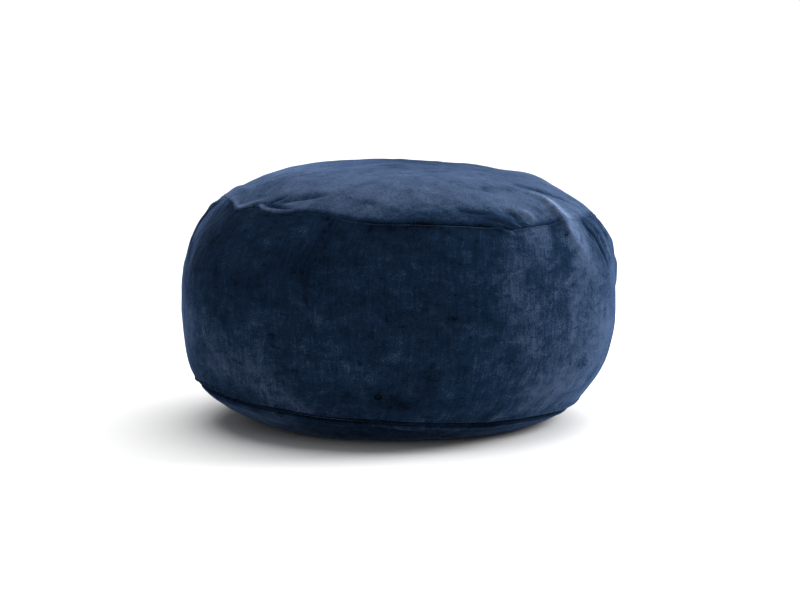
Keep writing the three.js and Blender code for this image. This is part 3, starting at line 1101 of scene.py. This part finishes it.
def plush():
    """Short navy plush, nearly black in its depth, glowing at its edges, brush-marked, with painted light
    and shade.
    """
    material = bpy.data.materials.new("navy_plush")
    material.use_nodes = True
    tree = material.node_tree
    tree.nodes.clear()
    place = add(tree, "ShaderNodeTexCoord").outputs["Object"]
    along = add(tree, "ShaderNodeAttribute", {"attribute_name": "unrolled"}).outputs["Vector"]
    fields = {row["name"]: pattern(tree, row, place, along) for row in PATTERNS}

    colour = add(tree, "ShaderNodeValToRGB", links={"Fac": lean_with_painted_light(tree, place, fields)})
    ramp = colour.color_ramp.elements
    # brush marks, painted light and painted shade all move the colour along these stops
    ramp[0].color = DEEP_PILE
    ramp[1].color = PAINTED_HIGHLIGHT
    ramp.new(LEANING_STOP).color = LEANING_PILE
    ramp.new(BRUSHED_STOP).color = BRUSHED_PILE_AND_PAINTED_LIGHT

    relief = {}
    for row in RELIEF:
        bumped = add(tree, "ShaderNodeBump", {"Strength": row["strength"], "Distance": row["height"]},
                     {"Height": fields[row["pattern"]], **relief})
        relief = {"Normal": bumped.outputs[0]}
    shader = add(tree, "ShaderNodeBsdfPrincipled",
                 {"Roughness": 0.9, "Specular IOR Level": 0, "Sheen Weight": 0.52,
                  "Sheen Roughness": 0.25, "Sheen Tint": SLANT_LIGHT},
                 {"Base Color": colour.outputs[0], **relief})
    add(tree, "ShaderNodeOutputMaterial", links={"Surface": shader.outputs[0]})
    return material


navy_plush = plush()
for piece in pieces.values():
    piece.data.materials.clear()
    piece.data.materials.append(navy_plush)
print("finish:", navy_plush.name, "with", len(navy_plush.node_tree.nodes), "nodes")

# %% [markdown]
# ## The cloth pieces in place of the CAD solids
#
# The CAD solids stay in the scene, hidden, and the cloth pieces show in their place, tied to the
# frame. The three panels hold the loose foam, and the strip is a narrow sheet, stretched round the base.

# %% Tie the pieces to the frame
for name, row in PANELS.items():
    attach(pieces[name], "root")
    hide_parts(row["node"])
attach(pieces["plush_strip"], "root")
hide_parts("base_strip")

# %% [markdown]
# ## Floor, light and camera
#
# A dark, soft thing needs a bright, plain place: a pale floor that runs into a white surround, a
# wide lamp above and behind to graze the top, and a softer one from the right. The front keeps
# only what the surround and the floor give it, so the plush stays deep there.

# %% The floor
FLOOR_REACH = 14  # metres to each side, well past what the camera sees

bm = bmesh.new()
bmesh.ops.create_grid(bm, x_segments=1, y_segments=1, size=FLOOR_REACH)
floor_mesh = bpy.data.meshes.new("floor")
bm.to_mesh(floor_mesh)
bm.free()
floor = placed("floor", floor_mesh)
pale_floor = bpy.data.materials.new("pale_floor")
pale_floor.use_nodes = True
matt = pale_floor.node_tree.nodes["Principled BSDF"]
matt.inputs["Base Color"].default_value = linear("#f4f4f4")
matt.inputs["Roughness"].default_value = 0.9
floor_mesh.materials.append(pale_floor)
print("floor, metres:", 2 * FLOOR_REACH, "square")

# %% The surround
SEEN_WHITE = 1.05  # white to the camera
SURROUND_LIGHT = 0.3  # what it gives the cloth

surround = bpy.data.worlds.new("surround")
surround.use_nodes = True
bpy.context.scene.world = surround
tree = surround.node_tree
tree.nodes.clear()
seen = add(tree, "ShaderNodeLightPath").outputs["Is Camera Ray"]
strength = add(tree, "ShaderNodeMapRange", {"To Min": SURROUND_LIGHT, "To Max": SEEN_WHITE},
               {"Value": seen})
white = add(tree, "ShaderNodeBackground", {"Color": (1, 1, 1, 1)}, {"Strength": strength.outputs[0]})
add(tree, "ShaderNodeOutputWorld", links={"Surface": white.outputs[0]})
print("surround:", surround.name)

# %% The lamps
LAMP_PLACE = Vector((2.6, 0.5, 1.4))
LAMP_AIM = Vector((0, 0, 0.25))

ceiling = bpy.data.lights.new("ceiling", "SUN")
ceiling.energy = 3.6
ceiling.angle = math.radians(80)
above = placed("ceiling", ceiling)
above.rotation_euler = (math.radians(-24), math.radians(6), 0)
softbox = bpy.data.lights.new("right", "AREA")
softbox.shape = "DISK"
softbox.size = 1.4
softbox.energy = 90
beside = placed("right", softbox)
beside.location = LAMP_PLACE
beside.rotation_euler = (LAMP_AIM - LAMP_PLACE).to_track_quat("-Z", "Y").to_euler()
print("lamps:", above.name, "and", beside.name)

# %% The camera
AIM = Vector((0.0014, 0, 0.2024))
DISTANCE = 4.5
RISE = math.radians(7.9)

camera = placed("camera", bpy.data.cameras.new("camera"))
camera.data.lens = 115.9
camera.data.sensor_width = 36
back = Vector((0, -math.cos(RISE), math.sin(RISE)))
camera.location = AIM + DISTANCE * back
camera.rotation_euler = (-back).to_track_quat("-Z", "Y").to_euler()
bpy.context.scene.camera = camera
bpy.context.scene.view_settings.view_transform = "Standard"
print("camera, metres:", [round(value, 2) for value in camera.location])
